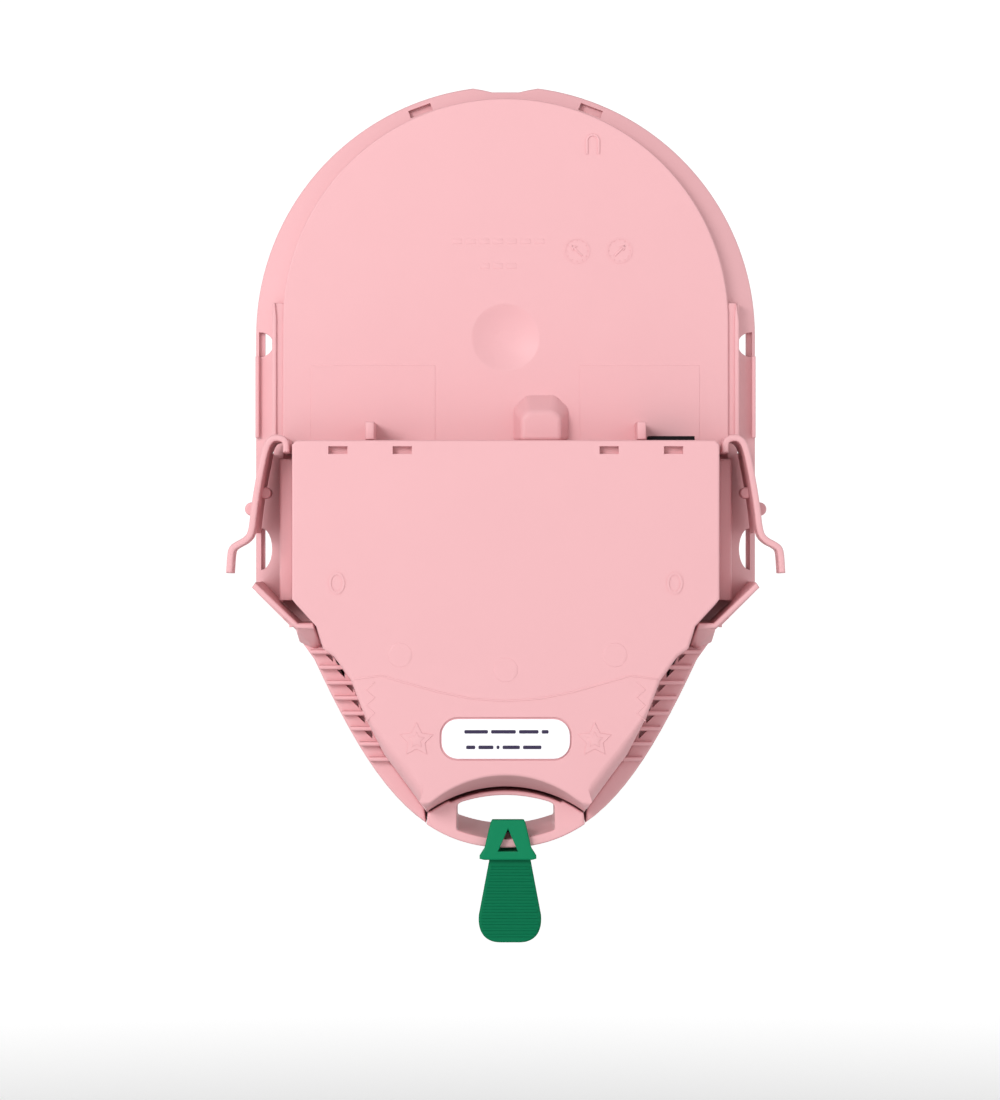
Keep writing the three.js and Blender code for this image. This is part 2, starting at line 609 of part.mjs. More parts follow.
function fingerLip() {
  const body = solid(slab(lipOutline(), TRAY_FRONT, LIP_BACK)).subtract(solid(fingerHole()));
  const saddle = block(TAB_X - 3.3, TAB_X + 3.3, 0, LIP_BACK - 1, -86, SADDLE);
  return body.subtract(solid(block(-6.2, 6.2, 0, -2.5, -86, -95))).subtract(solid(saddle));
}

place('finger_lip', fingerLip(), plastic(PINK));

// Strap round the lip's bar: barbed A-shaped leg at the back, bridge through the hole, front leg.
const STRAP_TOP = -86.0;
const BACK_LEG = [-16.9, -18.1];
const FRONT_LEG = [-0.6, -1.8];
const STRAP_HALF_WIDTH = 3.0;
const BARB = [
  [2.8, STRAP_TOP], [3.1, -86.6], [4.1, -90.9], [5.0, -92.3], [5.0, -92.9], [4.2, -93.1], [0, -93.1],
];
const SLIT = [[0, -87.6], [1.75, -91.6], [-1.75, -91.6]];
// Side view of the band, in Y and Z: over the bar, down the front and back under it.
const BAND = [[-18.1, -92.2], [-18.1, STRAP_TOP - 0.4], [-17.7, STRAP_TOP], [-16.6, STRAP_TOP], [-11.5, -87.5],
  [-0.6, -87.6], [-0.6, -92.2]];
const BAND_BORE = [[-16.9, -91.4], [-16.9, -87.4], [-11.5, -88.6], [-1.8, -88.6], [-1.8, -91.4]];

// A side view in Y and Z, run across between two heights of X.
function across(outline, x0, x1) {
  const shape = new THREE.Shape(outline.map(([y, z]) => point(z, y)));
  const geometry = new THREE.ExtrudeGeometry(shape, { depth: x1 - x0, bevelEnabled: false });
  const position = geometry.attributes.position;
  for (let i = 0; i < position.count; i++) {
    position.setXYZ(i, position.getZ(i) + x0, position.getY(i), position.getX(i));
  }
  return flipped(geometry);
}

// Turns every triangle round, after a swap of axes has turned the surface inside out.
function flipped(geometry) {
  const bare = geometry.clone();
  const position = bare.attributes.position;
  const corner = new THREE.Vector3();
  const other = new THREE.Vector3();
  for (let i = 0; i < position.count; i += 3) {
    corner.fromBufferAttribute(position, i);
    other.fromBufferAttribute(position, i + 1);
    position.setXYZ(i, other.x, other.y, other.z);
    position.setXYZ(i + 1, corner.x, corner.y, corner.z);
  }
  return bare;
}

function tabStrap() {
  const leg = mirrorHalf([point(0, STRAP_TOP), ...BARB.map(([x, z]) => point(x, z))]);
  const slit = SLIT.map(([x, z]) => point(x + TAB_X, z));
  const back = solid(slab(leg.map((p) => point(p.x + TAB_X, p.y)), ...BACK_LEG));
  const [x0, x1] = [TAB_X - STRAP_HALF_WIDTH, TAB_X + STRAP_HALF_WIDTH];
  const band = solid(across(BAND, x0 + 0.2, x1 - 0.2)).subtract(solid(across(BAND_BORE, x0 - 1, x1 + 1)));
  return back.add(band).subtract(solid(slab(slit, BACK_LEG[0] + 1, BACK_LEG[1] - 1)));
}

const TONGUE = {
  y: -15.7, thick: 1.4, top: -92.7, bottom: -107.8,
  ribs: 12, rib: 0.22, ribTop: -94.4, pitch: 1.08,
};

// Hanging ribbed tongue: narrow at the neck, widening to a round end.
function pullTab() {
  const { y, thick, top, bottom, ribs, rib, ribTop, pitch } = TONGUE;
  const lean = 0.35;
  const half = new THREE.Path();
  half.moveTo(0, top);
  half.lineTo(3.55, top);
  half.lineTo(5.5, bottom + 4.8);
  half.bezierCurveTo(5.75, bottom + 1.7, 4.3, bottom, 1.7, bottom);
  half.lineTo(0, bottom);
  const outline = mirrorHalf(half.getPoints(10)).map((p) => point(p.x + TAB_X + lean, p.y));
  let body = solid(slab(outline, y + thick / 2, y - thick / 2));
  for (let i = 0; i < ribs; i++) {
    const z = ribTop - i * pitch;
    const bar = block(-10, 10, y + thick / 2 + rib, y - thick / 2 - rib, z, z - 0.5);
    body = body.add(common(bar, slab(inset(outline, 0.25), y + 3, y - 3)));
  }
  return body;
}

place('tab_strap', tabStrap(), plastic(0x0a7a50));
place('pull_tab', pullTab(), plastic(0x047049));

export default cartridge;
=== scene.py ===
# Detailed look of the battery and electrode pad cartridge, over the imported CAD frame.
# Blender works in metres in the CAD frame: front face on y = 0, back at y = -0.024, +Z to the arch.
# Outlines below are in millimetres, as (x, z) points seen from the back, and repeat the CAD's dimensions.
import json
import math

import bmesh
import bpy
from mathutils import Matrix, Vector

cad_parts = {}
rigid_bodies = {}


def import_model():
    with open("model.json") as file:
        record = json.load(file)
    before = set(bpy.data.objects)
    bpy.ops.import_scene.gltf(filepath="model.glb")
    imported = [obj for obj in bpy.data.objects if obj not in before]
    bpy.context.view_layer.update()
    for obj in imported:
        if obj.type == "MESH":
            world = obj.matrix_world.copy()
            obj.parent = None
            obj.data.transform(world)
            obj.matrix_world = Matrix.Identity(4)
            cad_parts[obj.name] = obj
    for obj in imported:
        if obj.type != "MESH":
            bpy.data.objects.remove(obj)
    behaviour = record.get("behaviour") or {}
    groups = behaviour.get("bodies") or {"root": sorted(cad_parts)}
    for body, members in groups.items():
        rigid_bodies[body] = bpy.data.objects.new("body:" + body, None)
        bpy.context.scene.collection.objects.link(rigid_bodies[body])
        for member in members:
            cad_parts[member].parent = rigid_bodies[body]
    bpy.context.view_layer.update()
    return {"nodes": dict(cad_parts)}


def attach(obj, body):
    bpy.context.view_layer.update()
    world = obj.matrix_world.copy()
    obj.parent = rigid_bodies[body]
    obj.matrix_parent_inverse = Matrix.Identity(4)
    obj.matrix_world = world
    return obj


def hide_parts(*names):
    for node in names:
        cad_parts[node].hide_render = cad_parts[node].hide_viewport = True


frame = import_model()
NODES = frame["nodes"]
MM = 0.001

# ------------------------------------------------------------------ camera, floor and light
CAMERA_X = -1.0
CAMERA_Z = -38.63
CAMERA_DISTANCE = 624             # from the front face, that is 600 mm from the battery cover
LENS = 112.9
FLOOR_Z = -245                    # clear of the drawer when it is all the way out
WHITE = (1.0, 1.0, 1.0, 1.0)


def make_camera():
    data = bpy.data.cameras.new("camera")
    data.lens = LENS
    data.sensor_width = 36
    camera = bpy.data.objects.new("camera", data)
    camera.location = (CAMERA_X * MM, -CAMERA_DISTANCE * MM, CAMERA_Z * MM)
    camera.rotation_euler = (math.radians(90), 0, 0)
    bpy.context.scene.collection.objects.link(camera)
    bpy.context.scene.camera = camera


def area_light(name, location, size, energy):
    data = bpy.data.lights.new(name, "AREA")
    data.shape = "DISK"
    data.size = size
    data.energy = energy
    light = bpy.data.objects.new(name, data)
    light.location = location
    aim = Vector((0, 0, CAMERA_Z * MM)) - Vector(location)
    light.rotation_euler = aim.to_track_quat("-Z", "Y").to_euler()
    bpy.context.scene.collection.objects.link(light)


# Bright round the horizon and dimmer above and below, so that edges read.
def make_world(strength, far_strength):
    world = bpy.data.worlds.new("studio")
    world.use_nodes = True
    nodes, links = world.node_tree.nodes, world.node_tree.links
    background = nodes["Background"]
    background.inputs["Color"].default_value = WHITE
    coords = nodes.new("ShaderNodeTexCoord")
    split = nodes.new("ShaderNodeSeparateXYZ")
    height = nodes.new("ShaderNodeMath")
    height.operation = "ABSOLUTE"
    ramp = nodes.new("ShaderNodeMapRange")
    ramp.interpolation_type = "SMOOTHSTEP"
    ramp.inputs["From Min"].default_value = 0.3
    ramp.inputs["From Max"].default_value = 0.75
    ramp.inputs["To Min"].default_value = strength
    ramp.inputs["To Max"].default_value = far_strength
    links.new(coords.outputs["Generated"], split.inputs[0])
    links.new(split.outputs["Z"], height.inputs[0])
    links.new(height.outputs[0], ramp.inputs["Value"])
    links.new(ramp.outputs["Result"], background.inputs["Strength"])
    bpy.context.scene.world = world


def make_floor():
    mesh = bpy.data.meshes.new("floor")
    bm = bmesh.new()
    bmesh.ops.create_circle(bm, cap_ends=True, radius=6.0, segments=96)
    bm.to_mesh(mesh)
    bm.free()
    floor = bpy.data.objects.new("floor", mesh)
    floor.location = (0, 0, FLOOR_Z * MM)
    bpy.context.scene.collection.objects.link(floor)
    material = bpy.data.materials.new("floor")
    material.use_nodes = True
    shader = material.node_tree.nodes["Principled BSDF"]
    shader.inputs["Roughness"].default_value = 0.9
    # The floor glows: painted light, none within 0.2 m of the middle and rising to 0.6 by 1.1 m out, so the
    # far floor turns white into the horizon.
    shader.inputs["Emission Color"].default_value = WHITE
    nodes, links = material.node_tree.nodes, material.node_tree.links
    shader.inputs["Base Color"].default_value = (0.8, 0.8, 0.8, 1)
    reach = nodes.new("ShaderNodeVectorMath")
    reach.operation = "LENGTH"
    ramp = nodes.new("ShaderNodeMapRange")
    ramp.interpolation_type = "SMOOTHSTEP"
    ramp.inputs["From Min"].default_value = 0.2
    ramp.inputs["From Max"].default_value = 1.1
    ramp.inputs["To Min"].default_value = 0.0
    ramp.inputs["To Max"].default_value = 0.6
    links.new(object_coords(nodes), reach.inputs[0])
    links.new(reach.outputs["Value"], ramp.inputs["Value"])
    links.new(ramp.outputs["Result"], shader.inputs["Emission Strength"])
    mesh.materials.append(material)


# ------------------------------------------------------------------ materials
def material_with(name, roughness, metallic=0.0, specular=0.5):
    material = bpy.data.materials.new(name)
    material.use_nodes = True
    shader = material.node_tree.nodes["Principled BSDF"]
    shader.inputs["Roughness"].default_value = roughness
    shader.inputs["Metallic"].default_value = metallic
    shader.inputs["Specular IOR Level"].default_value = specular
    return material, shader, material.node_tree.nodes, material.node_tree.links


def object_coords(nodes):
    return nodes.new("ShaderNodeTexCoord").outputs["Object"]


def noise(nodes, links, coords, size_mm, detail=2.0):
    texture = nodes.new("ShaderNodeTexNoise")
    texture.inputs["Scale"].default_value = 1 / (size_mm * MM)
    texture.inputs["Detail"].default_value = detail
    links.new(coords, texture.inputs["Vector"])
    return texture.outputs["Fac"]


def tinted(nodes, links, factor, colour, spread):
    mix = nodes.new("ShaderNodeMix")
    mix.data_type = "RGBA"
    mix.inputs["A"].default_value = (*[c * (1 - spread) for c in colour], 1)
    mix.inputs["B"].default_value = (*[min(c * (1 + spread), 1) for c in colour], 1)
    links.new(factor, mix.inputs["Factor"])
    return mix.outputs["Result"]


def bumped(nodes, links, height, strength, distance_mm, below=None):
    bump = nodes.new("ShaderNodeBump")
    bump.inputs["Strength"].default_value = strength
    bump.inputs["Distance"].default_value = distance_mm * MM
    links.new(height, bump.inputs["Height"])
    if below:
        links.new(below, bump.inputs["Normal"])
    return bump.outputs["Normal"]


def ranged(nodes, links, value, low, high):
    ramp = nodes.new("ShaderNodeMapRange")
    ramp.inputs["From Min"].default_value = 0.3
    ramp.inputs["From Max"].default_value = 0.7
    ramp.inputs["To Min"].default_value = low
    ramp.inputs["To Max"].default_value = high
    links.new(value, ramp.inputs["Value"])
    return ramp.outputs["Result"]


# Moulded plastic: a spark-eroded grain, slow waviness from the mould and patchy gloss.
def moulded(name, colour, roughness, grain=0.3, depth=0.12, spread=0.012, specular=0.4):
    material, shader, nodes, links = material_with(name, roughness, specular=specular)
    coords = object_coords(nodes)
    clouds = noise(nodes, links, coords, 14)
    links.new(tinted(nodes, links, clouds, colour, spread), shader.inputs["Base Color"])
    gloss = noise(nodes, links, coords, 5)
    links.new(ranged(nodes, links, gloss, roughness - 0.04, roughness + 0.05), shader.inputs["Roughness"])
    waves = bumped(nodes, links, clouds, 0.25, 0.25)
    fine = noise(nodes, links, coords, grain)
    links.new(bumped(nodes, links, fine, depth, 0.05, waves), shader.inputs["Normal"])
    return material


# Brushed or rolled metal: long fine streaks along Z.
def metal(name, colour, roughness, spread=0.08, size=0.6):
    material, shader, nodes, links = material_with(name, roughness, metallic=1.0)
    mapping = nodes.new("ShaderNodeMapping")
    mapping.inputs["Scale"].default_value = (1, 1, 0.06)
    links.new(object_coords(nodes), mapping.inputs["Vector"])
    streaks = noise(nodes, links, mapping.outputs["Vector"], size, 4)
    links.new(tinted(nodes, links, streaks, colour, spread), shader.inputs["Base Color"])
    links.new(ranged(nodes, links, streaks, roughness - 0.08, roughness + 0.1), shader.inputs["Roughness"])
    links.new(bumped(nodes, links, streaks, 0.15, 0.05), shader.inputs["Normal"])
    return material


# Lid foil: creases from a stretched cell pattern over fine wrinkles.
def foil(name, colour):
    material, shader, nodes, links = material_with(name, 0.32, metallic=1.0)
    coords = object_coords(nodes)
    cells = nodes.new("ShaderNodeTexVoronoi")
    cells.feature = "DISTANCE_TO_EDGE"
    cells.inputs["Scale"].default_value = 1 / (9 * MM)
    links.new(coords, cells.inputs["Vector"])
    wrinkles = bumped(nodes, links, noise(nodes, links, coords, 3, 4), 0.6, 0.3)
    links.new(bumped(nodes, links, cells.outputs["Distance"], 0.5, 0.4, wrinkles), shader.inputs["Normal"])
    links.new(tinted(nodes, links, noise(nodes, links, coords, 6), colour, 0.04), shader.inputs["Base Color"])
    return material


# Paper, foam or gel: soft mottling with a fibre or pore bump.
def soft_surface(name, colour, roughness, size, strength, spread=0.03):
    material, shader, nodes, links = material_with(name, roughness, specular=0.3)
    coords = object_coords(nodes)
    tint = tinted(nodes, links, noise(nodes, links, coords, size * 8), colour, spread)
    links.new(tint, shader.inputs["Base Color"])
    relief = bumped(nodes, links, noise(nodes, links, coords, size, 3), strength, 0.05)
    links.new(relief, shader.inputs["Normal"])
    return material


# ------------------------------------------------------------------ outlines
def arc(cx, cz, radius, start, end, steps):
    angles = [math.radians(start + (end - start) * i / steps) for i in range(steps + 1)]
    return [(cx + radius * math.cos(a), cz + radius * math.sin(a)) for a in angles]


def bezier(control, start, end, steps):
    points = []
    for i in range(steps + 1):
        t = start + (end - start) * i / steps
        weights = ((1 - t) ** 3, 3 * (1 - t) ** 2 * t, 3 * (1 - t) * t * t, t ** 3)
        points.append(tuple(sum(w * p[k] for w, p in zip(weights, control)) for k in (0, 1)))
    return points


# A right half from the top centre to the bottom centre, closed with its mirror image.
def mirrored(half):
    return half + [(-x, z) for x, z in reversed(half) if x > 1e-6]


def rounded_box(cx, cz, width, height, corner, steps=6):
    w, h = width / 2 - corner, height / 2 - corner
    return (arc(cx + w, cz + h, corner, 90, 0, steps) + arc(cx + w, cz - h, corner, 0, -90, steps)
            + arc(cx - w, cz - h, corner, -90, -180, steps) + arc(cx - w, cz + h, corner, 180, 90, steps))


def clockwise(points):
    area = sum(a[0] * b[1] - b[0] * a[1] for a, b in zip(points, points[1:] + points[:1]))
    return points if area < 0 else points[::-1]


# Moves a clockwise outline inward by one distance, or by a list of them.
def offset(points, distance):
    moved = []
    for i, here in enumerate(points):
        here = Vector(here)
        a = (here - Vector(points[i - 1])).normalized()
        b = (Vector(points[(i + 1) % len(points)]) - here).normalized()
        normal = Vector((a.y + b.y, -a.x - b.x)).normalized()
        stretch = min(1 / max(math.sqrt(max(1 + a.dot(b), 0) / 2), 0.35), 2)
        step = distance[i] if isinstance(distance, list) else distance
        moved.append(tuple(here + normal * step * stretch))
    return moved


# Gives an open line of points a width.
def thicken(line, width):
    sides = []
    for sign in (1, -1):
        side = []
        for i, here in enumerate(line):
            along = (Vector(line[min(i + 1, len(line) - 1)]) - Vector(line[max(i - 1, 0)])).normalized()
            side.append(tuple(Vector(here) + Vector((along.y, -along.x)) * sign * width / 2))
        sides.append(side)
    return clockwise(sides[0] + sides[1][::-1])


# ------------------------------------------------------------------ rounded solids in mesh code
def from_back(u, w, depth):
    return (u, depth, w)


def from_side(u, w, depth):
    return (depth, u, w)


def ring(bm, points, depth, at=from_back):
    return [bm.verts.new([c * MM for c in at(u, w, depth)]) for u, w in points]


def bridge(bm, rings):
    for above, below in zip(rings, rings[1:]):
        for i in range(len(above)):
            bm.faces.new((above[i], above[i - 1], below[i - 1], below[i]))


def cap(bm, *rings):
    edges = []
    for loop in rings:
        for i in range(len(loop)):
            pair = (loop[i], loop[i - 1])
            edges.append(bm.edges.get(pair) or bm.edges.new(pair))
    bmesh.ops.triangle_fill(bm, use_beauty=True, use_dissolve=False, edges=edges)


# Offsets and depths of a rounded edge, from the face at one depth towards the other.
def fillet(face, other, radius, steps):
    sign = 1 if other > face else -1
    turns = [math.pi / 2 * k / steps for k in range(steps + 1)] if radius > 0 else [math.pi / 2]
    return [(radius * (1 - math.sin(t)), face + sign * radius * (1 - math.cos(t))) for t in turns]


# An outline run in depth from its back to its front, with rounded edges and holes.
# A hole is (outline, floor); a floor of None goes right through.
def slab(bm, outline, back, front, edge=0.3, far_edge=0.0, holes=(), hole_edge=0.12, steps=3, at=from_back):
    outline = clockwise(outline)
    sections = fillet(back, front, edge, steps) + fillet(front, back, far_edge, steps)[::-1]
    rings = [ring(bm, offset(outline, inset), depth, at) for inset, depth in sections]
    bridge(bm, rings)
    near, far = [rings[0]], [rings[-1]]
    for hole, floor in holes:
        hole = clockwise(hole)
        through = floor is None
        sections = fillet(back, front, hole_edge, 2) + [(0, front if through else floor)]
        walls = [ring(bm, offset(hole, -inset), depth, at) for inset, depth in sections]
        bridge(bm, walls)
        near.append(walls[0])
        if through:
            far.append(walls[-1])
        else:
            cap(bm, walls[-1])
    cap(bm, *near)
    cap(bm, *far)


def block(bm, x0, x1, back, front, z0, z1, edge=0.2, steps=2):
    slab(bm, [(x0, z1), (x1, z1), (x1, z0), (x0, z0)], back, front, edge, steps=steps)


# Closed hull of points in millimetres, with rounded edges.
def hull(bm, points, edge):
    part = bmesh.new()
    verts = [part.verts.new([c * MM for c in p]) for p in points]
    result = bmesh.ops.convex_hull(part, input=verts)
    loose = {v for v in result["geom_interior"] + result["geom_unused"] if isinstance(v, bmesh.types.BMVert)}
    bmesh.ops.delete(part, geom=list(loose), context="VERTS")
    bmesh.ops.dissolve_limit(part, angle_limit=math.radians(1), verts=part.verts, edges=part.edges)
    bmesh.ops.bevel(part, geom=part.edges[:], offset=edge * MM, segments=3, profile=0.5, affect="EDGES")
    copy = bpy.data.meshes.new("hull")
    part.to_mesh(copy)
    part.free()
    bm.from_mesh(copy)
    bpy.data.meshes.remove(copy)


def piece(name, bm, material):
    bmesh.ops.recalc_face_normals(bm, faces=bm.faces)
    for face in bm.faces:
        face.smooth = True
    mesh = bpy.data.meshes.new(name)
    bm.to_mesh(mesh)
    bm.free()
    mesh.set_sharp_from_angle(angle=math.radians(50))
    mesh.materials.append(material)
    made = bpy.data.objects.new(name, mesh)
    bpy.context.scene.collection.objects.link(made)
    normals = made.modifiers.new("normals", "WEIGHTED_NORMAL")
    normals.keep_sharp = True
    return made


def stands_for(made, node):
    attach(made, NODES[node].parent.name.removeprefix("body:"))
    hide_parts(node)


def detail_of(made, node):
    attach(made, NODES[node].parent.name.removeprefix("body:"))


# ------------------------------------------------------------------ dimensions, as in the CAD source
HALF_WIDTH = 45
SIDE_END = -46.2
CORNER = (36.3, -54.5)
NOSE = ((33.8, -58.0), (23.9, -79.3), (15.6, -91.1), (0, -91.1))
NOSE_SPLIT = 0.65
NOTCH = [(0, 43.85), (2.4, 43.85), (4.2, 44.3)]
BAY_HALF = 38.4
FLANGE = (-2.8, -1.5)             # depths of each solid: its back, then its front
PLATE = (-1.2, 0)
FLANGE_RIM = -2.0                 # the flange's back at its rim, and how much it rises inward
FLANGE_SLOPE = 0.5
DECK = (-6.8, -5.7)
PANEL_RADIUS = 39.9
PANEL_CENTRE = 2.3
COVER_BACK = -24
COVER_SKIRT = -7.1
COVER_SIDE = [(37.2, -47.2), (36.4, -48.2), (33.0, -51.9), (31.8, -55.8), (29.9, -57.2), (26.9, -61.4),
              (24.4, -68.0), (21.3, -74.5), (14.3, -84.0)]
FACE_ARC = (19.9, -77.8)          # radius and top of the cover's lower end, at its back face
SKIRT_ARC = (23.8, -80.25)        # the same at the level of the lip
LIP = (-16.5, -1.5)
GRIP_FLOOR = -14.6
SLOTS = ((44.4, 2.6, 0.6, -3.9), (44.0, 2.0, -34.7, -42.2), (43.2, 1.5, -19.6, -22.5))
PLATE_SLOT_EDGE = 43.4


def lower_arc(radius, top, half, steps=14):
    edge = 90 - math.degrees(math.asin(half / radius))
    return arc(0, top - radius, radius, edge, 90, steps)


def flange_outline(lap=0.0):
    end = bezier(NOSE, 0, NOSE_SPLIT + lap * 0.04, 12)
    radius, top = SKIRT_ARC
    return mirrored(NOTCH + arc(0, 0, HALF_WIDTH, 82.5, 0, 40) + [(HALF_WIDTH, SIDE_END), CORNER] + end
                    + lower_arc(radius, top - lap, end[-1][0] - 0.2))


# Arch, side and front corner down to where the drawer bay opens, as one open line of the right half.
def horseshoe(outer):
    inner = [(BAY_HALF, outer[-1][1])] + arc(0, PANEL_CENTRE, BAY_HALF, 0, 90, 36)
    left = [(-x, z) for x, z in outer[::-1] if x > 1e-6]
    inner_left = [(-x, z) for x, z in inner[::-1] if x > 1e-6]
    return outer + inner[:-1] + [(0, inner[-1][1])] + inner_left + left


def panel_outline():
    return mirrored(arc(0, PANEL_CENTRE, PANEL_RADIUS, 90, 0, 40) + [(PANEL_RADIUS, -50), (CORNER[0], -54)]
                    + bezier(NOSE, 0, NOSE_SPLIT, 12) + lower_arc(*SKIRT_ARC, 13.9))


def flange_slot(side, slot, edge=99.0):
    outer, bulge, top, bottom = slot
    depth = bulge - max(outer - edge, 0)
    curve = arc(0, 0, 1, 90, 270, 12)
    middle, half = (top + bottom) / 2, (top - bottom) / 2
    return [(side * (min(outer, edge) + depth * x), middle + half * z) for x, z in curve]


def turned_box(cx, cz, width, height, degrees):
    a = math.radians(degrees)
    u, w = width / 2, height / 2
    corners = [(-u, w), (u, w), (u, -w), (-u, -w)]
    cos, sin = math.cos(a), math.sin(a)
    return [(cx + p * cos - q * sin, cz + p * sin + q * cos) for p, q in corners]


ARCH_SLOT_ANGLE = 20.7


def arch_slot(side):
    a = math.radians(90 - side * ARCH_SLOT_ANGLE)
    return turned_box(43.3 * math.cos(a), 43.3 * math.sin(a), 4.2, 1.4, -side * ARCH_SLOT_ANGLE)


# ------------------------------------------------------------------ chassis
BOSS = {
    "left": 1.2, "right": 11.4, "top": -10.6, "foot": -19.2,
    "height": 4.2, "slope_x": 1.6, "slope_z": 3.4,
}
RAIL = {"inner": 41.0, "outer": 41.8, "top": 5.6, "bottom": -18.4}
GUARD = [(43.8, -44.3), (44.4, -45.2), (36.8, -52.3), (33.4, -52.5), (33.7, -51.4), (36.4, -51.4)]
GUARD_BACK = -21
CHANNEL = {"inner": 37.6, "outer": 40.1, "top": -22.4, "bottom": -47.6, "back": -12.5}
SINK = 0.3                        # how far a wall on the deck reaches into it, clear of the drawer bay
GUARD_FOOT = [(43.8, -44.3), (44.4, -45.2), (38.6, -50.6), (38.6, -49.3)]   # outside the drawer bay
RIB_TOP, RIB_PITCH, RIB, RIB_COUNT = -56.2, 2.7, 0.75, 8
COVER_MARGIN = 0.12
DIMPLE_RADIUS = 5.95
SPHERE = 17
DIMPLE_DEPTH = 1.1


def dimpled_deck(bm):
    outline = clockwise(panel_outline())
    back, front = DECK
    sections = fillet(back, front, 0.32, 3) + [(0, front)]
    rings = [ring(bm, offset(outline, inset), depth) for inset, depth in sections]
    bridge(bm, rings)
    centre = -0.6
    bowl = []
    rims = ((DIMPLE_RADIUS + 0.3, 0), (DIMPLE_RADIUS, 0.05))
    for radius, lift in rims + ((5.6, 0), (4.6, 0), (3.2, 0), (1.6, 0)):
        sink = lift
        if radius < DIMPLE_RADIUS:
            sink = DIMPLE_DEPTH - (SPHERE - math.sqrt(SPHERE ** 2 - radius ** 2))
        bowl.append(ring(bm, clockwise(arc(0, centre, radius, 0, 352.5, 47)), back + sink))
    bridge(bm, bowl)
    cap(bm, rings[0], bowl[0])
    cap(bm, bowl[-1])
    cap(bm, rings[-1])


def lead_boss(bm):
    back = DECK[0] - BOSS["height"]

    def outline(inset, top, cut):
        x0, x1, foot = BOSS["left"] + inset, BOSS["right"] - inset, BOSS["foot"]
        return [(x0, foot), (x0, top - cut), (x0 + cut, top), (x1 - cut, top), (x1, top - cut), (x1, foot)]
    base = outline(0, BOSS["top"], 2.4)
    plateau = outline(BOSS["slope_x"], BOSS["top"] - BOSS["slope_z"], 1.2)
    hull(bm, [(x, DECK[0] + 0.4, z) for x, z in base] + [(x, back, z) for x, z in plateau], 0.75)


# The strip of the nose outside the battery cover, on the right.
def grip_outline(margin):
    nose = [CORNER] + bezier(NOSE, 0, NOSE_SPLIT, 12)
    cover = offset(cover_outline(), -COVER_MARGIN)
    side = [p for p in cover if p[0] > 13.9 and -84.4 < p[1] < -54.6]
    outer = [(x, z) for x, z in nose]
    return [(x - margin, z) for x, z in outer] + sorted(side, key=lambda p: p[1])


def cover_x(z):
    for (x0, z0), (x1, z1) in zip(COVER_SIDE, COVER_SIDE[1:]):
        if z1 <= z <= z0:
            return x0 + (x1 - x0) * (z0 - z) / (z0 - z1)
    return COVER_SIDE[-1][0]


def nose_x(z):
    points = [CORNER] + bezier(NOSE, 0, NOSE_SPLIT, 40)
    for (x0, z0), (x1, z1) in zip(points, points[1:]):
        if z1 <= z <= z0:
            return x0 + (x1 - x0) * (z0 - z) / (z0 - z1)
    return points[-1][0]


def grips(bm, side):
    holes = []
    for i in range(RIB_COUNT - 2):
        z = RIB_TOP - RIB - i * RIB_PITCH - 0.15
        x = cover_x(z) + 0.55
        holes.append(([(side * (x + 1.2), z), (side * x, z), (side * (x - 0.1), z - 1.3)], -13.2))
    outline = [(side * x, z) for x, z in grip_outline(0)]
    slab(bm, outline, GRIP_FLOOR, DECK[0] + 0.3, 0.5, holes=holes, hole_edge=0.1)
    for i in range(RIB_COUNT):
        z = RIB_TOP - i * RIB_PITCH
        inner, outer = cover_x(z - RIB) + COVER_MARGIN + 0.1, nose_x(z - RIB) - 0.15
        rib = [(side * inner, z), (side * outer, z)]
        rib += [(side * (outer - 0.1), z - RIB), (side * (inner - 0.1), z - RIB)]
        slab(bm, rib, LIP[0], GRIP_FLOOR + 0.4, 0.28)


# The flange's back rises from its rim to the wall of the deck.
def slope_flange(bm):
    for vert in bm.verts:
        x, y, z = (c / MM for c in vert.co)
        if y < FLANGE[0] + 0.5:
            inward = HALF_WIDTH - (math.hypot(x, z) if z > 0 else abs(x))
            vert.co.y = (y + FLANGE_RIM - FLANGE[0] - FLANGE_SLOPE * max(inward, 0)) * MM


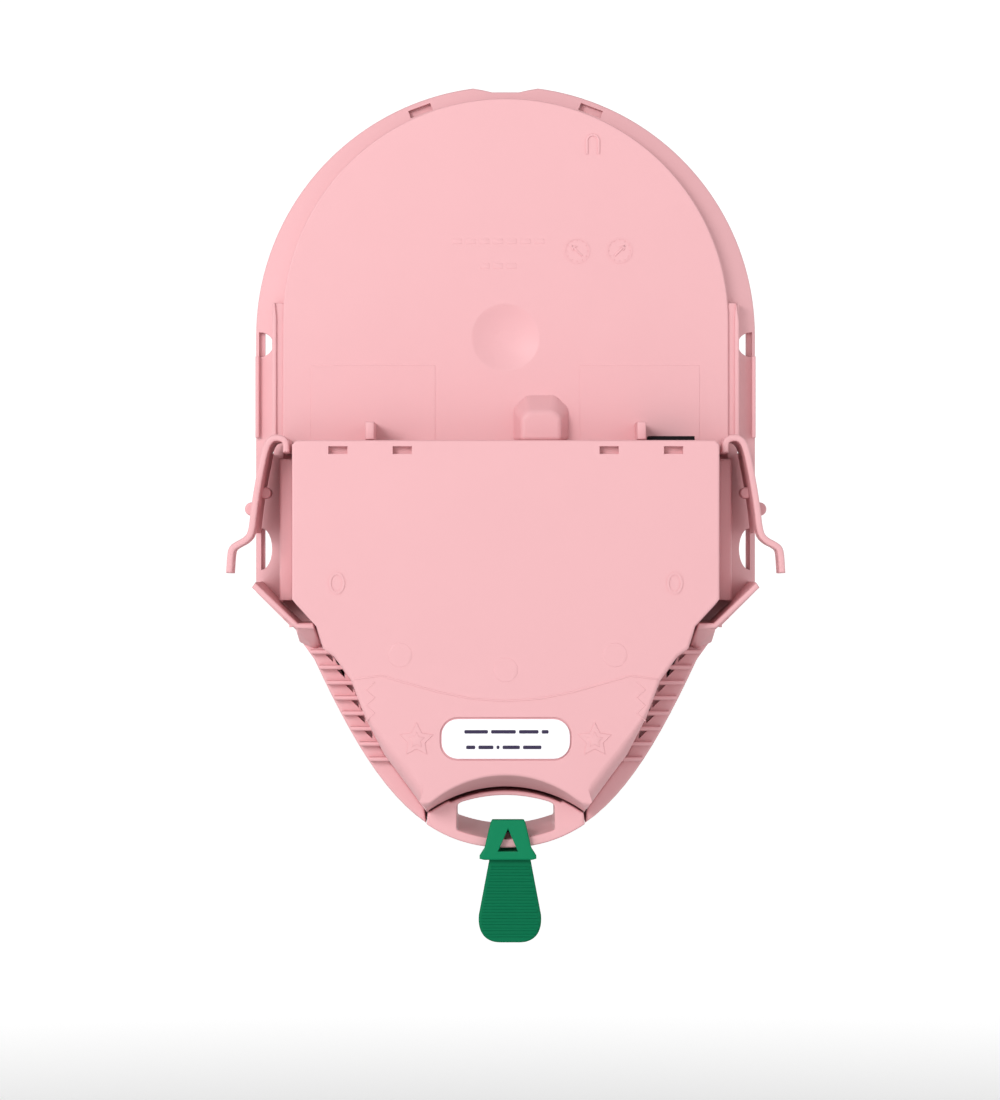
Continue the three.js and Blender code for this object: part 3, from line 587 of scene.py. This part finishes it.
def chassis():
    bm = bmesh.new()
    sides = (-1, 1)
    holes = [(flange_slot(side, slot), None) for side in sides for slot in SLOTS]
    holes += [(arch_slot(side), None) for side in sides]
    rim = NOTCH + arc(0, 0, HALF_WIDTH, 82.5, 0, 40) + [(HALF_WIDTH, SIDE_END), (BAY_HALF, -52.5)]
    slab(bm, horseshoe(rim), *FLANGE, 0.3, holes=holes, hole_edge=0.1)
    slope_flange(bm)
    wall = arc(0, PANEL_CENTRE, PANEL_RADIUS, 90, 0, 40) + [(PANEL_RADIUS, -51)]
    slab(bm, horseshoe(wall), DECK[0] + 0.8, FLANGE[1], 0)
    dimpled_deck(bm)
    lead_boss(bm)
    for side in sides:
        slab(bm, [(side * x, z) for x, z in GUARD], GUARD_BACK, DECK[0] + SINK, 0.38)
        slab(bm, [(side * x, z) for x, z in GUARD_FOOT], -12, FLANGE[0] + 0.2, 0)
        upper = [(36.8, -52.4), (33.4, -52.4), (33.9, -51.6)]
        lower = [(36.4, -55.0), (33.6, -56.2), (32.6, -55.6)]
        slope = [(side * x, GRIP_FLOOR, z) for x, z in upper + lower]
        slope += [(side * x, -20.4, z) for x, z in upper]
        hull(bm, slope, 0.3)
        inner, outer = CHANNEL["inner"], CHANNEL["outer"]
        top, bottom = CHANNEL["top"], CHANNEL["bottom"]
        block(bm, side * inner, side * outer, CHANNEL["back"], DECK[0] + SINK, top, bottom, 0.5)
        foot = side * (BAY_HALF + 0.1), side * (outer - 0.1)
        block(bm, *foot, -10, FLANGE[0] + 0.2, top - 0.2, bottom + 0.2, 0)
        block(bm, side * 39.4, side * 41.8, -6.2, FLANGE[0] + 0.2, RAIL["top"], RAIL["bottom"], 0.25)
        rail = [(41.0, RAIL["top"] - 2.5), (41.3, RAIL["top"]), (41.8, RAIL["top"] - 3.5)]
        rail += [(41.8, RAIL["bottom"]), (41.0, RAIL["bottom"])]
        slab(bm, [(side * x, z) for x, z in rail], DECK[0], -6.0, 0.22, steps=2)
        block(bm, side * 44.3, side * 45, FLANGE[0] - 0.8, FLANGE[0] + 0.2, -3.8, RAIL["bottom"], 0.2)
        block(bm, side * 23.1, side * 24.7, -18, DECK[0] + 0.2, -16.1, -19.2, 0.35)
        grips(bm, side)
    return piece("chassis_shell", bm, PINK)


# ------------------------------------------------------------------ marks raised a hair above the surface
def band(bm, line, width, back, height=0.12):
    slab(bm, thicken(line, width), back - height, back + 0.1, 0.07, steps=2)


def closed_band(bm, outline, width, back, height=0.12):
    outline = clockwise(outline)
    inner = offset(outline, width)
    outer_ring = [ring(bm, outline, back + 0.1), ring(bm, outline, back - height)]
    inner_ring = [ring(bm, inner, back - height), ring(bm, inner, back + 0.1)]
    bridge(bm, outer_ring + inner_ring + outer_ring[:1])


def star(cx, cz, radius):
    points = []
    for i in range(10):
        reach = radius if i % 2 == 0 else radius * 0.5
        a = math.radians(90 - 36 * i)
        points.append((cx + reach * math.cos(a), cz + reach * math.sin(a)))
    return points


def deck_marks():
    bm = bmesh.new()
    back = DECK[0]
    hoop = [(14.55, 32.2)] + arc(15.6, 34.6, 1.05, 180, 0, 10) + [(16.65, 32.2)]
    band(bm, hoop, 0.42, back, 0.22)
    for x, heading in ((12.8, 135), (20.4, 45)):
        closed_band(bm, arc(x, 14.9, 2.3, 0, 345, 23), 0.22, back, 0.08)
        a = math.radians(heading)
        tip = (x + 1.3 * math.cos(a), 14.9 + 1.3 * math.sin(a))
        tail = (x - 1.3 * math.cos(a), 14.9 - 1.3 * math.sin(a))
        band(bm, [tail, tip], 0.32, back, 0.14)
        for turn in (150, 210):
            b = math.radians(heading + turn)
            band(bm, [tip, (tip[0] + 0.9 * math.cos(b), tip[1] + 0.9 * math.sin(b))], 0.26, back, 0.14)
        for tick in range(12):
            t = math.radians(30 * tick)
            ends = [(x + r * math.cos(t), 14.9 + r * math.sin(t)) for r in (1.75, 2.0)]
            band(bm, ends, 0.14, back, 0.06)
    for z, half, count in ((16.6, 8.6, 7), (12.2, 3.6, 3)):
        pitch = 2 * half / count
        for i in range(count):
            x = -1.0 - half + pitch * i
            band(bm, [(x, z), (x + pitch * 0.72, z)], 0.9, back, 0.05)
    for x0, x1 in ((-34.9, -12.6), (13.3, 34.7)):
        slab(bm, [(x0, -5.6), (x1, -5.6), (x1, -19.4), (x0, -19.4)], back - 0.09, back + 0.2, 0.07, steps=2)
    return piece("deck_marks", bm, PINK)


# ------------------------------------------------------------------ battery cover
WINDOWS = (18.0, 29.2)
LABEL_Z, LABEL_WIDTH, LABEL_HEIGHT, LABEL_CORNER = -71.5, 22.3, 6.9, 2.8
CHAMFER = 0.8


def cover_outline(end=SKIRT_ARC):
    side = [(0, -19.5), (37.2 - CHAMFER, -19.5), (37.2, -19.5 - CHAMFER)]
    for here, there in zip(COVER_SIDE, COVER_SIDE[1:]):
        steps = 3 if here[1] < -60 else 1
        dx, dz = (there[0] - here[0]) / steps, (there[1] - here[1]) / steps
        side += [(here[0] + dx * k, here[1] + dz * k) for k in range(steps)]
    return clockwise(mirrored(side + [COVER_SIDE[-1]] + lower_arc(*end, 13.9)))


def smooth_step(value, low, high):
    t = min(max((value - low) / (high - low), 0), 1)
    return t * t * (3 - 2 * t)


# The cover is one loft: its face, a rolled edge that widens down the nose, then upright walls.
def battery_cover():
    bm = bmesh.new()
    face, skirt = cover_outline(FACE_ARC), cover_outline(SKIRT_ARC)
    roll = [smooth_step(-z, 66, 77) * smooth_step(abs(x), 13.2, 14.6) for x, z in face]
    soft = [0.4 + 0.35 * smooth_step(-z, 52, 58) * smooth_step(abs(x), 13, 15) for x, z in face]
    width = [w + 1.9 * r for w, r in zip(soft, roll)]
    drop = [w + 5.0 * r for w, r in zip(soft, roll)]
    rings = []
    steps = 6
    for k in range(steps + 1):
        t = math.pi / 2 * k / steps
        depths = [COVER_BACK + d * (1 - math.cos(t)) for d in drop]
        share = [min((y - COVER_BACK) / 7.5, 1) for y in depths]
        base = [(a[0] + (b[0] - a[0]) * s, a[1] + (b[1] - a[1]) * s) for a, b, s in zip(face, skirt, share)]
        moved = offset(base, [w * (1 - math.sin(t)) for w in width])
        rings.append([bm.verts.new((x * MM, y * MM, z * MM)) for (x, z), y in zip(moved, depths)])
    for depth in (LIP[0], COVER_SKIRT):
        rings.append(ring(bm, skirt, depth))
    bridge(bm, rings)
    holes = []
    for x in (WINDOWS[1], WINDOWS[0], -WINDOWS[0], -WINDOWS[1]):
        box = [(x - 1.65, -20.6), (x + 1.65, -20.6), (x + 1.65, -21.9), (x - 1.65, -21.9)]
        holes.append((box, -22.2))
    recess = rounded_box(0, LABEL_Z, LABEL_WIDTH + 0.6, LABEL_HEIGHT + 0.6, LABEL_CORNER + 0.3)
    holes.append((recess, -23.6))
    tops = [rings[0]]
    for outline, floor in holes:
        outline = clockwise(outline)
        sections = fillet(COVER_BACK, 0, 0.12, 2) + [(0, floor)]
        walls = [ring(bm, offset(outline, -inset), depth) for inset, depth in sections]
        bridge(bm, walls)
        cap(bm, walls[-1])
        tops.append(walls[0])
    cap(bm, *tops)
    cap(bm, rings[-1])
    return piece("battery_cover_shell", bm, PINK)


def cover_marks():
    bm = bmesh.new()
    back = COVER_BACK
    for side in (-1, 1):
        oval = [(side * 29.4 + 1.4 * math.cos(a), -44.4 + 1.9 * math.sin(a)) for a in
                [2 * math.pi * i / 28 for i in range(28)]]
        closed_band(bm, oval, 0.42, back, 0.16)
        slab(bm, star(side * 15.5, LABEL_Z - 0.2, 3.1), back - 0.16, back + 0.1, 0.14)
        slab(bm, star(side * 15.5, LABEL_Z - 0.2, 1.5), back - 0.26, back, 0.09, steps=2)
        zigzag = [(side * (23.4 + (0.9 if i % 2 else -0.6)), -61.6 - 1.35 * i) for i in range(6)]
        band(bm, zigzag, 0.24, back, 0.07)
    for x, z in ((-18.4, -56.9), (0, -59.5), (19.0, -56.9)):
        slab(bm, arc(x, z, 2.1, 0, 350, 35), back - 0.05, back + 0.1, 0.05, steps=2)
    crease = [(-26.4, -61.1), (-21.7, -60.5), (-16.8, -61.9), (-11.8, -63.3), (-6.0, -64.5), (0, -64.9)]
    crease += [(-x, z) for x, z in crease[-2::-1]]
    band(bm, crease, 0.3, back, 0.1)
    return piece("cover_marks", bm, PINK)


def label():
    bm = bmesh.new()
    outline = rounded_box(0, LABEL_Z, LABEL_WIDTH, LABEL_HEIGHT, LABEL_CORNER)
    slab(bm, outline, COVER_BACK - 0.08, COVER_BACK + 0.35, 0.05, steps=2)
    return piece("rear_label_paper", bm, PAPER)


# Rows of plain dashes stand in for the printing.
def dashes(bm, rows, back, front, height):
    for z, start, lengths in rows:
        x = start
        for length in lengths:
            slab(bm, rounded_box(x + length / 2, z, length, height, height * 0.3, 2), back, front, 0)
            x += length + 0.55


def label_print():
    bm = bmesh.new()
    rows = ((LABEL_Z + 1.25, -7.2, (4.1, 4.3, 3.4, 1.2)), (LABEL_Z - 1.45, -6.9, (1.6, 2.6, 0.5, 3.0, 3.2)))
    dashes(bm, rows, COVER_BACK - 0.1, COVER_BACK - 0.07, 0.62)
    return piece("rear_label_print", bm, INK)


# ------------------------------------------------------------------ front plate and label
def front_plate():
    bm = bmesh.new()
    holes = [(flange_slot(side, slot, PLATE_SLOT_EDGE), None) for side in (-1, 1) for slot in SLOTS]
    recess = rounded_box(0, -42, 52.6, 38.6, 4.3)
    back, front = PLATE
    outline = clockwise(flange_outline(1))
    sections = [(0, back)] + fillet(front, back, 0.5, 4)[::-1]
    rings = [ring(bm, offset(outline, inset), depth) for inset, depth in sections]
    bridge(bm, rings)
    near, far = [rings[0]], [rings[-1]]
    for hole, floor in holes:
        walls = [ring(bm, clockwise(hole), depth) for depth in (back, front)]
        bridge(bm, walls)
        near.append(walls[0])
        far.append(walls[1])
    pocket = [ring(bm, clockwise(recess), depth) for depth in (front, -0.4)]
    bridge(bm, pocket)
    cap(bm, pocket[1])
    far.append(pocket[0])
    cap(bm, *near)
    cap(bm, *far)
    return piece("front_plate_shell", bm, PINK)


def front_print():
    bm = bmesh.new()
    pads = [rounded_box(x, -36, 9, 12, 3.5) for x in (-9, 9)]
    for outline in pads:
        closed_band(bm, outline, 0.8, -0.1, -0.03)
    rows = ((-47.5, -14.0, (7, 5, 9, 5)), (-50.5, -14.0, (9, 4, 6, 7)), (-53.5, -14.0, (5, 8)))
    dashes(bm, rows, -0.1, -0.07, 1.0)
    return piece("front_label_print", bm, INK)


# ------------------------------------------------------------------ latches
ARM = [
    (38.4, -21.6), (38.4, -20.0), (38.9, -19.2), (40.3, -18.9), (41.4, -19.5), (42.15, -21.2),
    (43.2, -26.4), (43.95, -31.0), (44.45, -35.6), (45.4, -36.9), (47.2, -37.8), (47.9, -38.4),
    (48.15, -39.4), (48.35, -42.7),
]


# Cuts the corners of an open line, keeping its ends.
def softened(line, passes=2):
    for _ in range(passes):
        cut = [line[0]]
        for a, b in zip(line, line[1:]):
            cut.append((a[0] * 0.75 + b[0] * 0.25, a[1] * 0.75 + b[1] * 0.25))
            cut.append((a[0] * 0.25 + b[0] * 0.75, a[1] * 0.25 + b[1] * 0.75))
        line = cut + [line[-1]]
    return line


def latch(side, name):
    bm = bmesh.new()
    line = [(side * x, z) for x, z in ARM]
    slab(bm, thicken(softened(line), 1.15), -21, -15, 0.36)
    slab(bm, thicken(softened(line[:6]), 1.08), -15.4, -7.1, 0)
    slab(bm, thicken(softened(line[5:9]), 1.08), -15.4, -4.2, 0)
    slab(bm, arc(side * 44.9, -31.4, 1.2, 0, 345, 23), -14.5, -10, 0.3)
    slab(bm, arc(side * 42.6, -28.5, 1.0, 0, 345, 23), -13, -8, 0.3)
    return piece(name, bm, PINK)


# ------------------------------------------------------------------ finger lip, strap and tab
def lip_hole(lift):
    half, top, bottom, shoulder, foot = 8.6, -81.8, -89.5, -83.2, -88.0
    def curve(a, b, c, steps=8):
        ts = [i / steps for i in range(steps + 1)]
        return [((1 - t) ** 2 * a[0] + 2 * t * (1 - t) * b[0] + t * t * c[0],
                 (1 - t) ** 2 * a[1] + 2 * t * (1 - t) * b[1] + t * t * c[1]) for t in ts]
    upper = curve((0, top), (half / 2 - 0.7, top), (half - 1.4, shoulder + 0.35))
    upper += curve((half - 1.4, shoulder + 0.35), (half, shoulder), (half, shoulder - 0.8), 4)[1:]
    lower = curve((half, foot + 0.4), (half, foot), (half - 0.6, foot - 0.1), 4)
    lower += curve((half - 0.6, foot - 0.1), (half / 2 - 0.3, bottom), (0, bottom))[1:]
    return clockwise(mirrored(upper + [(x, z + lift) for x, z in lower]))


def finger_lip():
    bm = bmesh.new()
    radius, top = SKIRT_ARC
    middle = [p for p in lower_arc(radius, top - 0.75, 13.7, 28)[::-1] if p[0] < 9.9]
    shoulder = [p for p in lower_arc(radius, top - 0.4, 13.7, 28)[::-1] if p[0] > 9.8]
    outline = mirrored(middle + shoulder + [(13.95, -86.8)] + bezier(NOSE, NOSE_SPLIT + 0.004, 1, 16))
    outline = clockwise(outline)
    back, front = LIP
    rings = [ring(bm, offset(outline, inset), y) for inset, y in fillet(back, front, 0.4, 4) + [(0, front)]]
    bridge(bm, rings)
    walls = [ring(bm, offset(lip_hole(0), -inset), y) for inset, y in fillet(back, front, 0.3, 3)]
    walls.append(ring(bm, lip_hole(1.65), front))
    bridge(bm, walls)
    cap(bm, rings[0], walls[0])
    cap(bm, rings[-1], walls[-1])
    return piece("finger_lip_shell", bm, PINK)


TAB_X = 0.4
STRAP_TOP = -86.0
BARB = [(2.8, STRAP_TOP), (3.1, -86.6), (4.1, -90.9), (5.0, -92.3), (5.0, -92.9), (4.2, -93.1), (0, -93.1)]
SLIT = [(0, -87.6), (1.75, -91.6), (-1.75, -91.6)]
# Side view of the band through the lip's hole, in Y and Z, without its back leg.
LOOP = [(-17.4, -86.1), (-16.6, STRAP_TOP), (-11.5, -87.5), (-0.6, -87.6), (-0.6, -92.2), (-17.4, -92.2),
        (-17.4, -91.7), (-1.8, -91.5), (-1.8, -88.6), (-11.5, -88.6), (-16.8, -87.2), (-17.4, -87.1)]


def tab_strap():
    bm = bmesh.new()
    leg = mirrored([(0, STRAP_TOP)] + BARB)
    slab(bm, [(x + TAB_X, z) for x, z in leg], -18.1, -16.9, 0.32, 0.2,
         holes=[([(x + TAB_X, z) for x, z in SLIT], None)], hole_edge=0.2)
    slab(bm, LOOP, TAB_X - 2.75, TAB_X + 2.75, 0.12, 0.12, at=from_side)
    return piece("tab_strap_loop", bm, PAINTED_LIGHTER_GREEN)


TONGUE_Y, TONGUE_TOP, TONGUE_BOTTOM = -15.7, -92.7, -107.8


def tongue_half():
    bottom = TONGUE_BOTTOM
    foot = bezier(((5.5, bottom + 4.8), (5.75, bottom + 1.7), (4.3, bottom), (1.7, bottom)), 0, 1, 14)
    return [(0, TONGUE_TOP), (3.55, TONGUE_TOP)] + foot + [(0, bottom)]


def pull_tab():
    bm = bmesh.new()
    half = tongue_half()
    centre = TAB_X + 0.35
    slab(bm, [(x + centre, z) for x, z in mirrored(half)], TONGUE_Y - 0.7, TONGUE_Y + 0.7, 0.45, 0.45)
    for i in range(12):
        z = -94.4 - i * 1.08
        pairs = [(a, b) for a, b in zip(half[1:], half[2:-1]) if b[1] <= z <= a[1] > b[1]]
        reach = [a[0] + (b[0] - a[0]) * (a[1] - z) / (a[1] - b[1]) for a, b in pairs]
        x = min(reach) - 0.38
        outline = rounded_box(centre, z - 0.25, 2 * x, 0.52, 0.2, 3)
        slab(bm, outline, TONGUE_Y - 0.92, TONGUE_Y + 0.92, 0.2, 0.2)
    return piece("pull_tab_tongue", bm, GREEN)


# ------------------------------------------------------------------ drawer tray
def drawer_tray():
    bm = bmesh.new()
    radius, top = SKIRT_ARC
    nose = offset(bezier(NOSE, 0, NOSE_SPLIT, 12), 0.25)[1:-1]
    upper = arc(0, 2, 38, 90, 0, 40) + [(38, -52.2), (35.9, -54.6)]
    outline = mirrored(upper + nose + lower_arc(radius, top + 0.25, 13.4))
    outline = clockwise(outline)
    rings = [ring(bm, offset(outline, i), y) for i, y in fillet(-5.4, -1.75, 0.4, 3) + [(0, -1.75)]]
    inner = offset(outline, 1.0)
    walls = [ring(bm, inner, -1.75), ring(bm, inner, -4.5)]
    bridge(bm, rings + walls)
    cap(bm, rings[0])
    cap(bm, walls[-1])
    return piece("drawer_tray_shell", bm, PINK)


# ------------------------------------------------------------------ build
HORIZON_LIGHT = 1.1               # strength of the world at the horizon, then above and below
SKY_LIGHT = 0.3
KEY_PLACE = (-0.5, -0.95, 0.3)    # metres: up and to the left, on the camera's side
KEY_SIZE = 0.45
KEY_WATTS = 6

make_camera()
make_world(HORIZON_LIGHT, SKY_LIGHT)
make_floor()
area_light("key", KEY_PLACE, KEY_SIZE, KEY_WATTS)
bpy.context.scene.view_settings.view_transform = "Standard"

PINK = moulded("shell_pink", (0.74, 0.398, 0.42), 0.5)
GREEN = moulded("tab_green", (0.001, 0.145, 0.062), 0.62, specular=0.08)
PAPER = soft_surface("label_paper", (0.93, 0.92, 0.95), 0.55, 0.12, 0.05, 0.01)
INK = soft_surface("label_ink", (0.03, 0.02, 0.06), 0.6, 0.2, 0.1)
# The strap is the tab's green plastic, painted lighter to stand in for the extra light it catches compared
# with the tongue.
PAINTED_LIGHTER_GREEN = moulded("strap_green", (0.001, 0.2, 0.085), 0.5, specular=0.12)
BLACK = moulded("black_plastic", (0.006, 0.005, 0.006), 0.5, spread=0.1, specular=0.1)

stands_for(chassis(), "chassis")
detail_of(deck_marks(), "chassis")
stands_for(battery_cover(), "battery_cover")
detail_of(cover_marks(), "battery_cover")
stands_for(label(), "rear_label")
detail_of(label_print(), "rear_label")
stands_for(front_plate(), "front_plate")
detail_of(front_print(), "front_label")
stands_for(latch(-1, "left_latch_arm"), "left_latch")
stands_for(latch(1, "right_latch_arm"), "right_latch")
stands_for(finger_lip(), "finger_lip")
stands_for(tab_strap(), "tab_strap")
stands_for(pull_tab(), "pull_tab")
stands_for(drawer_tray(), "drawer_tray")

# CAD nodes whose shape stays, with the material each one gets.
CARRIED = {
    "front_label": PAPER,
    "contact_block": BLACK,
    "board_chip": BLACK,
    "pad_socket": moulded("socket_white", (0.75, 0.74, 0.7), 0.5),
    "pad_tail": moulded("tail_ivory", (0.8, 0.76, 0.66), 0.5),
    "circuit_board": soft_surface("solder_mask", (0.012, 0.14, 0.05), 0.35, 0.4, 0.2, 0.1),
    "drawer_foil": foil("lid_foil", (0.75, 0.76, 0.78)),
    "upper_pad_backing": soft_surface("pad_foam", (0.88, 0.87, 0.84), 0.8, 0.25, 0.5),
    "lower_pad_backing": soft_surface("pad_foam_lower", (0.88, 0.87, 0.84), 0.8, 0.25, 0.5),
    "upper_pad_gel": soft_surface("pad_gel", (0.7, 0.8, 0.84), 0.2, 0.8, 0.15),
    "lower_pad_gel": soft_surface("pad_gel_lower", (0.7, 0.8, 0.84), 0.2, 0.8, 0.15),
    "pad_liner": soft_surface("liner_film", (0.62, 0.68, 0.71), 0.25, 1.5, 0.1),
    "folded_lead": moulded("lead_sheath", (0.02, 0.02, 0.024), 0.55),
}
CELL = metal("cell_sleeve", (0.05, 0.13, 0.32), 0.35)
NICKEL = metal("nickel_strap", (0.6, 0.61, 0.63), 0.3)
GOLD = metal("contact_gold", (0.78, 0.56, 0.2), 0.25)
for i in range(1, 7):
    CARRIED[f"cell_{i}"] = CELL
for i in range(1, 5):
    CARRIED[f"cell_strap_{i}"] = NICKEL
    CARRIED[f"contact_blade_{i}"] = GOLD
for node, material in CARRIED.items():
    for material_slot in NODES[node].material_slots:
        material_slot.material = material
